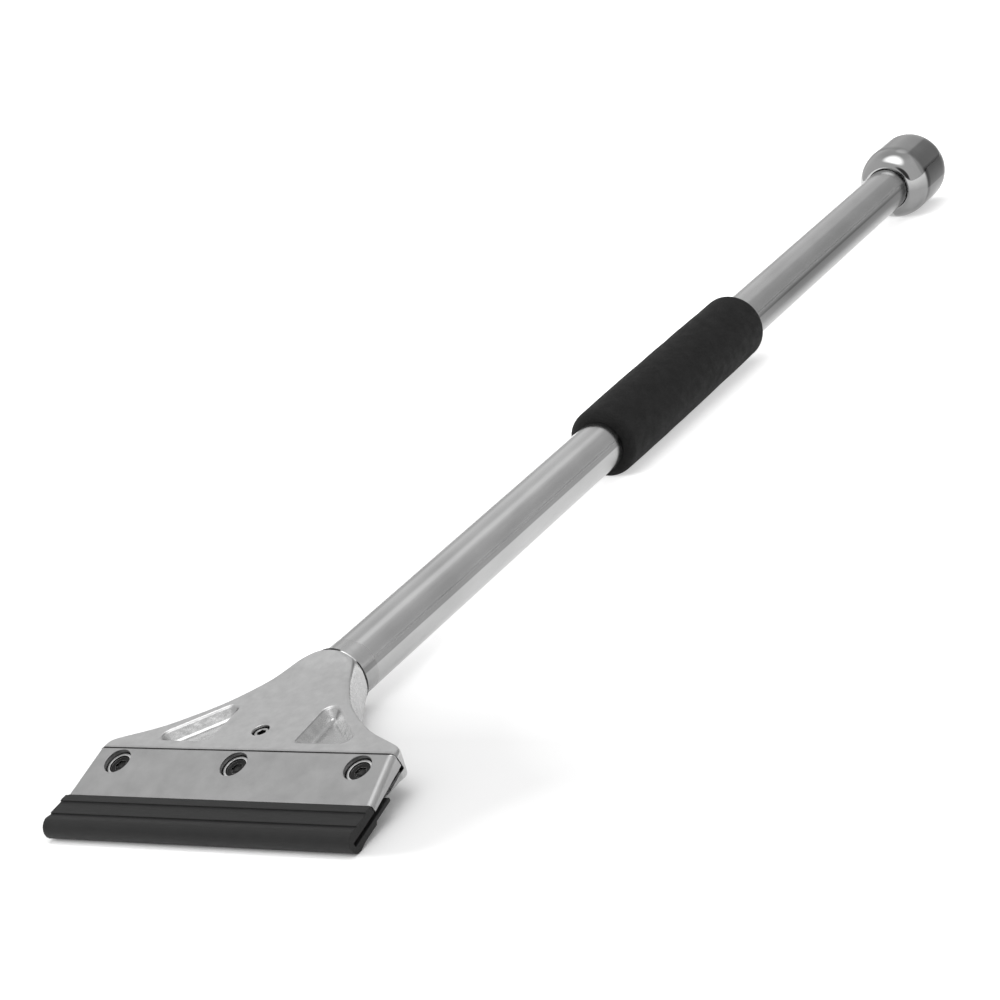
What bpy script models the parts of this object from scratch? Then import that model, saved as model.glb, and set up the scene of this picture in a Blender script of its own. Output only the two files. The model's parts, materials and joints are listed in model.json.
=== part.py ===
"""Heavy duty steel scraper, lying on a flat surface.

Two steel jaws clamp a wide blade at the front of a long tubular handle. The handle has a foam grip
and ends in a steel cap that can be struck with a hammer. The tool rests on the nose of its rubber
blade guard and on the shoulder of its cap. The handle runs along +Y, the clamp screws face up and
X = 0 is the plane of symmetry. All lengths are in metres.
"""
import math

import bmesh
import bpy
from mathutils import Matrix, Vector

MM = 0.001

# Shared clearances
fit_gap = 0.3 * MM
cut_overrun = 5 * MM
weld_distance = 0.001 * MM
shading_angle = math.radians(32)
turn_steps = 48
fastener_steps = 24

# Handle tube
tube_diameter = 21.3 * MM
tube_wall = 2 * MM
tube_length = 551.6 * MM
tube_edge = 0.4 * MM

# Foam grip, placed from the front end of the tube
grip_diameter = 30.9 * MM
grip_length = 135.2 * MM
grip_setback = 202.8 * MM
grip_rounding = 5 * MM

# Strike cap
cap_diameter = 37 * MM
cap_length = 40 * MM
cap_bore_depth = 25.5 * MM
cap_mouth_diameter = 22.4 * MM
cap_shoulder_length = 14 * MM
cap_rim_length = 10 * MM
cap_face_diameter = 20 * MM
cap_shoulder_power = 2
cap_rim_power = 3
cap_curve_steps = 8

# Inserts and studs that hold the head and the cap to the tube
insert_length = 30 * MM
stud_diameter = 12 * MM
stud_hold = 24 * MM
stud_tip = 1 * MM
cap_stud_reach = 8 * MM
neck_stud_reach = 20 * MM
spigot_diameter = 8 * MM
spigot_length = 32 * MM
lock_ring_diameter = 22.4 * MM
lock_ring_thickness = 1 * MM
lock_ring_edge = 0.25 * MM

# Head body, measured from the seam between the jaws along the handle axis; the jaws stand past the
# blade's ends by the side margin
neck_length = 59 * MM
neck_diameter = 24.6 * MM
seam_height = 4.74 * MM
jaw_side_margin = 1 * MM
jaw_flare_share = 0.09
jaw_overhang = 10.3 * MM
jaw_depth = 5.8 * MM
top_slope = math.radians(4.4)
top_edge_rounding = 2.4 * MM
under_edge_rounding = 2.2 * MM
neck_blend_start = 35 * MM
neck_blend_power = 4
under_blend_power = 2
head_stations = 30
corner_steps = 5

# Half width of the head from the seam (0, 1) to the neck (1, 0)
flank_shares = (
    (0, 1), (0.05, 0.998), (0.085, 0.978), (0.115, 0.915), (0.155, 0.82), (0.2, 0.72),
    (0.26, 0.612), (0.34, 0.498), (0.42, 0.393), (0.51, 0.294), (0.62, 0.2), (0.74, 0.114),
    (0.87, 0.046), (0.95, 0.012), (1, 0),
)

# Two triangular pockets in the top of the head
pocket_inner_x = 18.2 * MM
pocket_front_y = 5 * MM
pocket_leg = 28.3 * MM
pocket_depth = 4.2 * MM
pocket_draft = math.radians(38)
pocket_rounding = 3.8 * MM
pocket_heel_rounding = 2 * MM
pocket_arc_steps = 6

# Clamp plate, the upper jaw, tilted to the handle and tapering to the front
jaw_tilt = math.radians(19.47)
wedge_angle = math.radians(7.63)
plate_length = 21.7 * MM
plate_rear_thickness = 5.67 * MM
plate_side_rounding = 2.2 * MM
plate_edge_share = 0.15
plate_bevel_steps = 4

# Clamp screws
screw_end_distance = 10.8 * MM
screw_setback = 6 * MM
screw_head_diameter = 9.8 * MM
screw_head_height = 1.6 * MM
screw_head_recess = 1.8 * MM
screw_head_chamfer = 0.5 * MM
screw_diameter = 6 * MM
screw_length = 8 * MM
screw_tip = 0.6 * MM
screw_key_width = 4 * MM
screw_key_depth = 1.2 * MM
boss_diameter = 13 * MM
boss_reach = 12 * MM

# Set screw that locks the neck stud
lock_setback = 12.3 * MM
lock_screw_diameter = 6 * MM
lock_screw_length = 4 * MM
lock_screw_recess = 0.9 * MM
lock_screw_tip = 0.5 * MM
lock_key_width = 3 * MM
lock_key_depth = 2 * MM

# Blade, with three slots open to the rear
blade_width = 125 * MM
blade_depth = 35.3 * MM
blade_thickness = 1 * MM
blade_setback = 1 * MM
blade_slot_width = 6.8 * MM
blade_bevel_length = 3 * MM
blade_edge_land = 0.2 * MM
slot_arc_steps = 8

# Rubber guard pushed over the front of the blade
guard_side_margin = 2.7 * MM
guard_lip_thickness = 3 * MM
guard_band_rise = 0.45 * MM
guard_first_band = 3.4 * MM
guard_second_band = 6.25 * MM
guard_groove_step = 0.42 * MM
guard_nose_radius = 4.1 * MM
guard_nose_setback = 0.85 * MM
guard_nose_rise = 0.36 * MM
guard_back_thickness = 1.4 * MM
guard_root_thickness = 2.3 * MM
guard_root_start = 23 * MM
guard_root_fade = 0.9 * MM
guard_heel_reach = 3.5 * MM
guard_nose_steps = 14

# Sizes that follow from those above
tube_radius = tube_diameter / 2
tube_bore_radius = tube_radius - tube_wall
lock_ring_start = neck_length + fit_gap
tube_start = lock_ring_start + lock_ring_thickness + fit_gap
tube_end = tube_start + tube_length
cap_start = tube_end + fit_gap - cap_bore_depth
cap_shoulder_end = cap_start + cap_shoulder_length
seat_drop = (blade_thickness + 2 * fit_gap) / math.cos(wedge_angle)
blade_edge = blade_setback + blade_depth
jaw_half_width = blade_width / 2 + jaw_side_margin
guard_half_length = blade_width / 2 + guard_side_margin
screw_spacing = blade_width / 2 - screw_end_distance

jaw_in_tool = Matrix.Translation((0, 0, seam_height)) @ Matrix.Rotation(jaw_tilt, 4, "X")
blade_in_jaw = Matrix.Translation((0, 0, -plate_rear_thickness)) @ Matrix.Rotation(-wedge_angle, 4, "X")
top_in_tool = Matrix.Translation((0, 0, seam_height)) @ Matrix.Rotation(top_slope, 4, "X")
nose_centre = Vector((0, guard_nose_setback - blade_edge,
                      guard_nose_rise - fit_gap - blade_thickness / 2))
nose_in_tool = jaw_in_tool @ blade_in_jaw @ nose_centre


# Helpers

def clear_scene():
    for old in list(bpy.data.objects):
        bpy.data.objects.remove(old, do_unlink=True)


def new_collection(name):
    collection = bpy.data.collections.new(name)
    bpy.context.scene.collection.children.link(collection)
    return collection


def new_frame(name, matrix, parent=None):
    """Empty that carries the pieces placed in its own directions."""
    frame = bpy.data.objects.new(name, None)
    frame.empty_display_size = tube_diameter
    parts.objects.link(frame)
    frame.parent = parent
    frame.matrix_local = matrix
    return frame


def new_finish(name, colour, roughness, metallic):
    material = bpy.data.materials.new(name)
    material.use_nodes = True
    shader = material.node_tree.nodes["Principled BSDF"]
    shader.inputs["Base Color"].default_value = (*colour, 1)
    shader.inputs["Roughness"].default_value = roughness
    shader.inputs["Metallic"].default_value = metallic
    material.diffuse_color = (*colour, 1)
    return material


def place(obj, frame, position=(0, 0, 0), turn=(0, 0, 0), finish=None):
    """Put a piece in its frame; a piece without a finish is a cutter."""
    (parts if finish else cutters).objects.link(obj)
    obj.parent = frame
    obj.location = position
    obj.rotation_euler = turn
    if finish:
        obj.data.materials.append(finish)
    else:
        obj.hide_render = True
        obj.display_type = "WIRE"
    return obj


def baked(obj, name):
    """Mesh object holding what the modifiers or the curve of obj make."""
    bpy.context.scene.collection.objects.link(obj)
    bpy.context.view_layer.update()
    mesh = bpy.data.meshes.new_from_object(obj.evaluated_get(bpy.context.evaluated_depsgraph_get()))
    mesh.name = name
    bpy.data.objects.remove(obj, do_unlink=True)
    bm = bmesh.new()
    bm.from_mesh(mesh)
    bmesh.ops.remove_doubles(bm, verts=bm.verts, dist=weld_distance)
    bm.to_mesh(mesh)
    bm.free()
    mesh.shade_smooth()
    mesh.set_sharp_from_angle(angle=shading_angle)
    return bpy.data.objects.new(name, mesh)


def turned(name, profile, steps=turn_steps):
    """Solid turned about local Z from (radius, height) points, outer side from top to bottom."""
    mesh = bpy.data.meshes.new(name + "_profile")
    points = [(radius, 0, height) for radius, height in profile]
    mesh.from_pydata(points, [(i, i + 1) for i in range(len(points) - 1)], [])
    obj = bpy.data.objects.new(name, mesh)
    screw = obj.modifiers.new("Turn", "SCREW")
    screw.steps = steps
    screw.render_steps = steps
    screw.use_merge_vertices = True
    screw.merge_threshold = weld_distance
    return baked(obj, name)


def loft(name, sections):
    """Solid skinned over rings that hold equally many points."""
    bm = bmesh.new()
    rings = [[bm.verts.new(point) for point in section] for section in sections]
    for ring, following in zip(rings, rings[1:]):
        for i in range(len(ring)):
            before = i - 1
            bm.faces.new((ring[before], ring[i], following[i], following[before]))
    bm.faces.new(rings[0])
    bm.faces.new(rings[-1])
    bmesh.ops.remove_doubles(bm, verts=bm.verts, dist=weld_distance)
    bmesh.ops.recalc_face_normals(bm, faces=bm.faces)
    mesh = bpy.data.meshes.new(name)
    bm.to_mesh(mesh)
    bm.free()
    mesh.shade_smooth()
    mesh.set_sharp_from_angle(angle=shading_angle)
    return bpy.data.objects.new(name, mesh)


def prism(name, outline, half_width):
    """Solid with a (y, z) outline that runs across the tool."""
    return loft(name, [[(x, y, z) for y, z in outline] for x in (-half_width, half_width)])


def flat_outline(name, outline, half_thickness):
    """Plate with an (x, y) outline, centred on its own plane."""
    curve = bpy.data.curves.new(name, "CURVE")
    curve.dimensions = "2D"
    curve.fill_mode = "BOTH"
    curve.extrude = half_thickness
    spline = curve.splines.new("POLY")
    spline.points.add(len(outline) - 1)
    for point, (x, y) in zip(spline.points, outline):
        point.co = (x, y, 0, 1)
    spline.use_cyclic_u = True
    return baked(bpy.data.objects.new(name, curve), name)


def key_socket(name, width, depth):
    """Six-sided cutter whose floor lies at the given depth below the origin."""
    bm = bmesh.new()
    corner_radius = width / 2 / math.cos(math.pi / 6)
    bmesh.ops.create_cone(bm, cap_ends=True, segments=6, radius1=corner_radius,
                          radius2=corner_radius, depth=2 * depth)
    mesh = bpy.data.meshes.new(name)
    bm.to_mesh(mesh)
    bm.free()
    return bpy.data.objects.new(name, mesh)


def combine(piece, tool, operation="DIFFERENCE"):
    boolean = piece.modifiers.new(tool.name, "BOOLEAN")
    boolean.object = tool
    boolean.operation = operation
    boolean.solver = "EXACT"


def arc(centre, radius, start, end, steps):
    """Points of a round stretch, angles in radians."""
    angles = [start + (end - start) * i / steps for i in range(steps + 1)]
    return [(centre[0] + radius * math.cos(a), centre[1] + radius * math.sin(a)) for a in angles]


def bulge(outer, inner, length, power, steps):
    """Profile points from (outer, 0) to (inner, length) along a rounded quarter."""
    points = []
    for i in range(steps + 1):
        turn = math.pi / 2 * i / steps
        out = math.cos(turn) ** (2 / power)
        up = math.sin(turn) ** (2 / power)
        points.append((inner + (outer - inner) * out, length * up))
    return points


def smooth_share(table, at):
    """Read a table of shares along a smooth curve through its rows."""
    at = min(max(at, table[0][0]), table[-1][0])
    i = max(k for k in range(len(table) - 1) if table[k][0] <= at)

    def steepness(k):
        low, high = table[max(k - 1, 0)], table[min(k + 1, len(table) - 1)]
        return (high[1] - low[1]) / (high[0] - low[0])

    (x0, y0), (x1, y1) = table[i], table[i + 1]
    span = x1 - x0
    t = (at - x0) / span
    rise = y1 - y0
    entry = steepness(i) * span
    leave = steepness(i + 1) * span
    return y0 + t * (entry + t * (3 * rise - 2 * entry - leave + t * (entry + leave - 2 * rise)))


# Head

def head_section(y):
    """Ring across the handle axis: a flat box at the jaws that rounds up into the neck."""
    neck_radius = neck_diameter / 2
    along = max(y, 0) / neck_length
    blend = max((y - neck_blend_start) / (neck_length - neck_blend_start), 0)
    half = neck_radius + (jaw_half_width - neck_radius) * smooth_share(flank_shares, along)
    half += jaw_flare_share * max(-y, 0)
    rise = math.tan(top_slope)
    crown = neck_radius - seam_height - neck_length * rise
    top = seam_height + y * rise + crown * blend ** neck_blend_power
    bottom = -jaw_depth - (neck_radius - jaw_depth) * along
    top_round = top_edge_rounding + (neck_radius - top_edge_rounding) * blend ** neck_blend_power
    under_round = under_edge_rounding + (neck_radius - under_edge_rounding) * blend ** under_blend_power
    ring = []
    for quarter, (side, level, radius) in enumerate((
            (half, top, top_round), (-half, top, top_round),
            (-half, bottom, under_round), (half, bottom, under_round))):
        centre = (side - math.copysign(radius, side), level - math.copysign(radius, level))
        start = quarter * math.pi / 2
        ring += arc(centre, radius, start, start + math.pi / 2, corner_steps)
    return [(x, y, z) for x, z in ring]


def pocket_cutter(side):
    """Drafted triangular cutter, in the plane of the head's top."""
    corners = [(pocket_inner_x, pocket_front_y), (pocket_inner_x + pocket_leg, pocket_front_y),
               (pocket_inner_x, pocket_front_y + pocket_leg)]
    corner_turns = [math.pi / 2, 3 * math.pi / 4, 3 * math.pi / 4]
    roundings = [pocket_heel_rounding, pocket_rounding, pocket_rounding]
    start_angles = [math.pi, -math.pi / 2, math.pi / 4]

    def outline(inset, z):
        ring = []
        for i, (corner, sweep, rounding, start) in enumerate(
                zip(corners, corner_turns, roundings, start_angles)):
            radius = max(rounding - inset, fit_gap)
            reach = (radius + inset) / math.cos(sweep / 2)
            middle = start + sweep / 2
            centre = (corner[0] - reach * math.cos(middle), corner[1] - reach * math.sin(middle))
            ring += arc(centre, radius, start, start + sweep, pocket_arc_steps)
        return [(side * x, y, z) for x, y in ring]

    spread = math.tan(pocket_draft)
    return loft(f"pocket_cutter_{side}", [outline(-cut_overrun * spread, cut_overrun),
                                          outline(pocket_depth * spread, -pocket_depth)])


def mouth_cutter():
    """Space between the jaws: the step face behind the plate and the seat under the blade."""
    def seat(y):
        return -plate_rear_thickness - seat_drop - y * math.tan(wedge_angle)

    front = -plate_length
    outline = [(fit_gap, cut_overrun + seam_height), (front, cut_overrun + seam_height),
               (front, seat(front)), (fit_gap, seat(fit_gap))]
    return prism("mouth_cutter", outline, 2 * jaw_half_width)


def stud_bore_cutter():
    """Stepped bore from the neck's end, for the thread and the spigot of the stud."""
    thread_radius = stud_diameter / 2 + fit_gap
    spigot_radius = spigot_diameter / 2 + fit_gap
    thread_floor = -neck_stud_reach - fit_gap
    profile = [(0, cut_overrun), (thread_radius, cut_overrun), (thread_radius, thread_floor),
               (spigot_radius, thread_floor), (spigot_radius, thread_floor - spigot_length),
               (0, thread_floor - spigot_length)]
    return turned("stud_bore_cutter", profile, fastener_steps)


def make_head():
    spacing = neck_length / head_stations
    stations = [-jaw_overhang] + [spacing * i for i in range(head_stations + 1)]
    head = place(loft("head_body", [head_section(y) for y in stations]), tool_frame, finish=cast_steel)
    for x in screw_places:
        boss = turned(f"boss_{x / MM:.0f}", [(0, -plate_rear_thickness),
                                             (boss_diameter / 2, -plate_rear_thickness),
                                             (boss_diameter / 2, -boss_reach), (0, -boss_reach)],
                      fastener_steps)
        combine(head, place(boss, jaw_frame, (x, -screw_setback, 0)), "UNION")
    combine(head, place(mouth_cutter(), jaw_frame))
    for cutter in screw_cutters:
        combine(head, cutter)
    for side in (-1, 1):
        combine(head, place(pocket_cutter(side), top_frame))
    combine(head, place(stud_bore_cutter(), tool_frame, (0, neck_length, 0), along_handle))
    combine(head, lock_cutter)


def make_clamp_plate():
    """Wedge block with softly rounded sides and three counterbored holes."""
    bm = bmesh.new()
    bmesh.ops.create_cube(bm, size=1)
    for vert in bm.verts:
        length = plate_length if vert.co.y < 0 else 0
        half = jaw_half_width + jaw_flare_share * length
        thickness = plate_rear_thickness - length * math.tan(wedge_angle)
        vert.co = (math.copysign(half, vert.co.x), -length, 0 if vert.co.z > 0 else -thickness)
    weight = bm.edges.layers.float.new("bevel_weight_edge")
    for edge in bm.edges:
        first, second = edge.verts
        upper_side = first.co.x == second.co.x or abs(first.co.y - second.co.y) > fit_gap
        upper_side = upper_side and first.co.z == second.co.z == 0
        edge[weight] = 1 if upper_side else plate_edge_share
    mesh = bpy.data.meshes.new("clamp_plate")
    bm.to_mesh(mesh)
    bm.free()
    plate = place(bpy.data.objects.new("clamp_plate", mesh), jaw_frame, finish=machined_steel)
    bevel = plate.modifiers.new("Rounded edges", "BEVEL")
    bevel.limit_method = "WEIGHT"
    bevel.width = plate_side_rounding
    bevel.segments = plate_bevel_steps
    for cutter in screw_cutters:
        combine(plate, cutter)


def screw_hole_cutter(x):
    """Counterbore for the head and a clearance hole that runs on through the boss."""
    head_radius = screw_head_diameter / 2 + fit_gap
    shank_radius = screw_diameter / 2 + fit_gap
    floor = -screw_head_recess - screw_head_height - fit_gap
    bottom = -boss_reach - cut_overrun
    profile = [(0, cut_overrun), (head_radius, cut_overrun), (head_radius, floor),
               (shank_radius, floor), (shank_radius, bottom), (0, bottom)]
    cutter = turned(f"screw_hole_{x / MM:.0f}", profile, fastener_steps)
    return place(cutter, jaw_frame, (x, -screw_setback, 0))


def make_clamp_screw(name, x):
    head_radius = screw_head_diameter / 2
    radius = screw_diameter / 2
    end = -screw_head_height - screw_length
    profile = [(0, 0), (head_radius - screw_head_chamfer, 0), (head_radius, -screw_head_chamfer),
               (head_radius, -screw_head_height), (radius, -screw_head_height),
               (radius, end + screw_tip), (radius - screw_tip, end), (0, end)]
    position = (x, -screw_setback, -screw_head_recess)
    screw = place(turned(name, profile, fastener_steps), jaw_frame, position, finish=black_steel)
    socket = key_socket(name + "_socket", screw_key_width, screw_key_depth)
    combine(screw, place(socket, jaw_frame, position))


def lock_hole_cutter():
    """Hole drilled through the head's top into the stud's spigot."""
    radius = lock_screw_diameter / 2 + fit_gap
    floor = -lock_screw_recess - lock_screw_length - fit_gap
    profile = [(0, cut_overrun), (radius, cut_overrun), (radius, floor), (0, floor)]
    return place(turned("lock_hole", profile, fastener_steps), top_frame, (0, lock_setback, 0))


def make_lock_screw():
    radius = lock_screw_diameter / 2
    end = -lock_screw_length
    profile = [(0, 0), (radius - lock_screw_tip, 0), (radius, -lock_screw_tip),
               (radius, end + lock_screw_tip), (radius - lock_screw_tip, end), (0, end)]
    position = (0, lock_setback, -lock_screw_recess)
    screw = place(turned("stud_lock_screw", profile, fastener_steps), top_frame, position,
                  finish=black_steel)
    socket = key_socket("stud_lock_socket", lock_key_width, lock_key_depth)
    combine(screw, place(socket, top_frame, position))


# Blade and guard

def make_blade():
    """Flat blade with three rear slots; its front edge is ground on the upper side."""
    half = blade_width / 2
    slot_radius = blade_slot_width / 2
    slot_centre = -screw_setback * math.cos(wedge_angle) - fit_gap
    outline = [(-half, -blade_edge), (half, -blade_edge), (half, -blade_setback)]
    for x in reversed(screw_places):
        outline.append((x + slot_radius, -blade_setback))
        outline += arc((x, slot_centre), slot_radius, 0, -math.pi, slot_arc_steps)
        outline.append((x - slot_radius, -blade_setback))
    outline.append((-half, -blade_setback))
    middle = -fit_gap - blade_thickness / 2
    blade = place(flat_outline("blade", outline, blade_thickness / 2), blade_frame,
                  (0, 0, middle), finish=bright_steel)
    top = -fit_gap
    slope = (blade_thickness - blade_edge_land) / blade_bevel_length
    ahead = -blade_edge - cut_overrun
    bevel_start = -blade_edge + blade_bevel_length
    grind = [(bevel_start, top), (bevel_start, top + cut_overrun), (ahead, top + cut_overrun),
             (ahead, top - slope * (blade_bevel_length + cut_overrun))]
    combine(blade, place(prism("blade_grind", grind, blade_width), blade_frame))


def make_guard():
    """Channel of rubber: a thick front lip with two grooves, a round nose and a thin back leg."""
    seat = -2 * fit_gap - blade_thickness
    rise = math.tan(wedge_angle)
    lip_foot = plate_length / math.cos(wedge_angle) + fit_gap
    lip_top = lip_foot + guard_lip_thickness * rise
    first_groove = lip_top + guard_first_band
    second_groove = first_groove + guard_second_band
    band_top = guard_lip_thickness + guard_band_rise
    band_foot = band_top - guard_groove_step
    nose_y, nose_z = nose_centre.y, nose_centre.z
    blade_tilt = jaw_tilt - wedge_angle
    back_depth = -seat + guard_back_thickness
    seam_foot = plate_rear_thickness * math.sin(jaw_tilt)
    back_start = (jaw_overhang + seam_foot + back_depth * math.sin(blade_tilt)) / math.cos(blade_tilt)
    back_start += fit_gap
    root_depth = -seat + guard_root_thickness
    heel_y = nose_y + guard_heel_reach
    slot_floor = blade_edge + fit_gap
    outline = [(-lip_foot, 0), (-lip_top, guard_lip_thickness), (-first_groove, band_top),
               (-first_groove, band_foot), (-second_groove, band_top), (-second_groove, band_foot)]
    outline += arc((nose_y, nose_z), guard_nose_radius, math.pi / 2, 3 * math.pi / 2, guard_nose_steps)
    outline += [(heel_y, -root_depth), (-guard_root_start - guard_root_fade, -root_depth),
                (-guard_root_start, -back_depth), (-back_start, -back_depth), (-back_start, seat),
                (-slot_floor, seat), (-slot_floor, 0)]
    across = (math.pi / 2, 0, math.pi / 2)
    place(flat_outline("blade_guard", outline, guard_half_length), blade_frame, turn=across, finish=rubber)


# Handle

def sleeve(name, outer, inner, length, edge, steps=turn_steps):
    """Turned tube whose outer corners are chamfered."""
    profile = [(outer - edge, length), (outer, length - edge), (outer, edge), (outer - edge, 0),
               (inner, 0), (inner, length), (outer - edge, length)]
    return turned(name, profile, steps)


def rod(name, radius, length, tip):
    profile = [(0, length), (radius - tip, length), (radius, length - tip), (radius, tip),
               (radius - tip, 0), (0, 0)]
    return turned(name, profile, fastener_steps)


def make_handle():
    ring = sleeve("neck_lock_ring", lock_ring_diameter / 2, stud_diameter / 2 + fit_gap,
                  lock_ring_thickness, lock_ring_edge)
    place(ring, tool_frame, (0, lock_ring_start, 0), along_handle, black_steel)
    tube = sleeve("handle_tube", tube_radius, tube_bore_radius, tube_length, tube_edge)
    place(tube, tool_frame, (0, tube_start, 0), along_handle, brushed_steel)
    for name, start in (("neck_insert", tube_start), ("cap_insert", tube_end - insert_length)):
        insert = sleeve(name, tube_bore_radius - fit_gap, stud_diameter / 2 + fit_gap,
                        insert_length, tube_edge, fastener_steps)
        place(insert, tool_frame, (0, start, 0), along_handle, machined_steel)


def make_grip():
    """Foam sleeve with rounded ends."""
    radius = grip_diameter / 2
    bore = tube_radius + fit_gap
    inner = radius - min(grip_rounding, radius - bore - fit_gap)
    end = bulge(radius, inner, grip_rounding, 2, cap_curve_steps)
    profile = [(r, grip_length - grip_rounding + h) for r, h in reversed(end)]
    profile += [(r, grip_rounding - h) for r, h in end]
    profile += [(bore, 0), (bore, grip_length), profile[0]]
    place(turned("foam_grip", profile), tool_frame, (0, tube_start + grip_setback, 0),
          along_handle, foam)


def make_cap():
    """Solid cap with a rounded shoulder, a flat struck face and a blind bore for the tube."""
    radius = cap_diameter / 2
    bore = tube_radius + fit_gap
    stud_bore = stud_diameter / 2 + fit_gap
    stud_floor = cap_bore_depth + cap_stud_reach + 2 * fit_gap
    rim = bulge(radius, cap_face_diameter / 2, cap_rim_length, cap_rim_power, cap_curve_steps)
    shoulder = bulge(radius, cap_mouth_diameter / 2, cap_shoulder_length, cap_shoulder_power,
                     cap_curve_steps)
    profile = [(0, cap_length)]
    profile += [(r, cap_length - cap_rim_length + h) for r, h in reversed(rim)]
    profile += [(r, cap_shoulder_length - h) for r, h in shoulder]
    profile += [(bore, 0), (bore, cap_bore_depth), (stud_bore, cap_bore_depth),
                (stud_bore, stud_floor), (0, stud_floor)]
    place(turned("strike_cap", profile), tool_frame, (0, cap_start, 0), along_handle, polished_steel)


def make_studs():
    """Neck stud with a plain spigot under the lock screw, and the shorter cap stud."""
    radius = stud_diameter / 2
    spigot = spigot_diameter / 2
    front = neck_length - neck_stud_reach
    back = tube_start + stud_hold
    length = back - front
    profile = [(0, length), (radius - stud_tip, length), (radius, length - stud_tip), (radius, 0),
               (spigot, 0), (spigot, stud_tip - spigot_length), (spigot - stud_tip, -spigot_length),
               (0, -spigot_length)]
    stud = place(turned("neck_stud", profile, fastener_steps), tool_frame, (0, front, 0),
                 along_handle, machined_steel)
    combine(stud, lock_cutter)
    cap_stud = rod("cap_stud", radius, stud_hold + fit_gap + cap_stud_reach, stud_tip)
    place(cap_stud, tool_frame, (0, tube_end - stud_hold, 0), along_handle, machined_steel)


# Rest pose: the line under the guard's nose and the cap's shoulder is level

def rest_matrix():
    shoulder = Vector((cap_shoulder_end, -cap_diameter / 2))
    nose = Vector((nose_in_tool.y, nose_in_tool.z))
    between = shoulder - nose
    fall = math.atan2(between.y, between.x) + math.asin(guard_nose_radius / between.length)
    pitch = Matrix.Rotation(-fall, 4, "X")
    lift = -(pitch @ Vector((0, shoulder.x, shoulder.y))).z
    front = (pitch @ nose_in_tool).y - guard_nose_radius
    face_edge = Vector((0, cap_start + cap_length, -cap_face_diameter / 2))
    back = (pitch @ face_edge).y
    return Matrix.Translation((0, -(front + back) / 2, lift)) @ pitch


clear_scene()
parts = new_collection("steel_scraper")
cutters = new_collection("scraper_cutters")

cast_steel = new_finish("cast_steel", (0.46, 0.46, 0.46), 0.42, 0.9)
machined_steel = new_finish("machined_steel", (0.4, 0.4, 0.4), 0.38, 0.9)
bright_steel = new_finish("bright_steel", (0.6, 0.6, 0.6), 0.25, 1)
brushed_steel = new_finish("brushed_steel", (0.5, 0.5, 0.5), 0.3, 0.95)
polished_steel = new_finish("polished_steel", (0.45, 0.45, 0.45), 0.16, 1)
black_steel = new_finish("black_steel", (0.02, 0.02, 0.02), 0.4, 0.6)
rubber = new_finish("rubber", (0.045, 0.045, 0.045), 0.7, 0)
foam = new_finish("foam", (0.027, 0.027, 0.027), 0.9, 0)

along_handle = (-math.pi / 2, 0, 0)
screw_places = (-screw_spacing, 0, screw_spacing)
tool_frame = new_frame("tool_frame", rest_matrix())
jaw_frame = new_frame("jaw_frame", jaw_in_tool, tool_frame)
blade_frame = new_frame("blade_frame", blade_in_jaw, jaw_frame)
top_frame = new_frame("top_frame", top_in_tool, tool_frame)

screw_cutters = [screw_hole_cutter(x) for x in screw_places]
lock_cutter = lock_hole_cutter()
make_head()
make_clamp_plate()
for screw_name, screw_x in zip(("left", "middle", "right"), screw_places):
    make_clamp_screw(f"clamp_screw_{screw_name}", screw_x)
make_lock_screw()
make_blade()
make_guard()
make_handle()
make_grip()
make_cap()
make_studs()
bpy.context.view_layer.update()
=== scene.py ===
# %% [markdown]
# # A long scraper with a clamped blade
#
# This lesson dresses a heavy steel scraper. The tool has a wide steel head, three sunk screws, a rubber
# guard over its blade, a bright tube for a handle, a foam grip and a polished cap that takes hammer blows.
# Its working model already exists and is loaded as a fixed frame. Our job is the surface: every edge that
# catches light, and every finish. Everything is in metres, with +Z up and +Y along the handle.

# %% Load the frame
import json
import math

import bmesh
import bpy
from mathutils import Matrix, Vector, noise


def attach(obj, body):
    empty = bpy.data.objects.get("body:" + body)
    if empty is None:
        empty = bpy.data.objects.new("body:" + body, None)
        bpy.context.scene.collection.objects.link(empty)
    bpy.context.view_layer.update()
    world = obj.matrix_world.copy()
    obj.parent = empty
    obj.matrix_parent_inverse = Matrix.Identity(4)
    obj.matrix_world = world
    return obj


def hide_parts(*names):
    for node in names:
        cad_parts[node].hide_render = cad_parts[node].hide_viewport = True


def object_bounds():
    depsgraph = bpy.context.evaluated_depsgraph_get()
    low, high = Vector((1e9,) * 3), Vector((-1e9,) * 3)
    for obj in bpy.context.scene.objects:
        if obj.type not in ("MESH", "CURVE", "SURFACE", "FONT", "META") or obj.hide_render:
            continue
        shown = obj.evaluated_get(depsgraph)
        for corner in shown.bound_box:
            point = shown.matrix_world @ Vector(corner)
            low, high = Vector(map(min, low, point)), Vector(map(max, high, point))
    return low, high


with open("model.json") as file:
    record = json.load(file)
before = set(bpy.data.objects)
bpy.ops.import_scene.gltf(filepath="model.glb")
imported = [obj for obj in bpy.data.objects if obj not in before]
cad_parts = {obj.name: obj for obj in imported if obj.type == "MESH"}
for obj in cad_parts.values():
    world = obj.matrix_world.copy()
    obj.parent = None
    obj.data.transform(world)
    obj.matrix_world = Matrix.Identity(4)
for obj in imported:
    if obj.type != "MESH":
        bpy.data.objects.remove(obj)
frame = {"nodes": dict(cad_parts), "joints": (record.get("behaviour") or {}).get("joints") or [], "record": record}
cad_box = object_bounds()
MM = 0.001
print("frame size in mm:", [round(side / MM, 1) for side in cad_box[1] - cad_box[0]])

# %% [markdown]
# The handle doesn't lie level: it rises a little towards the cap. The clamp plate tilts down from the
# handle, the blade lies at a third angle between the jaws, and the top of the head has its own slope.
# We could type these angles, but the record of the model already holds directions that we can trust: the
# axis of the struck face, and the axes on which the plate, the blade and the lock screw move. From those
# we build one matrix for each part of the tool, and a shape drawn in its own matrix stays simple.

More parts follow.
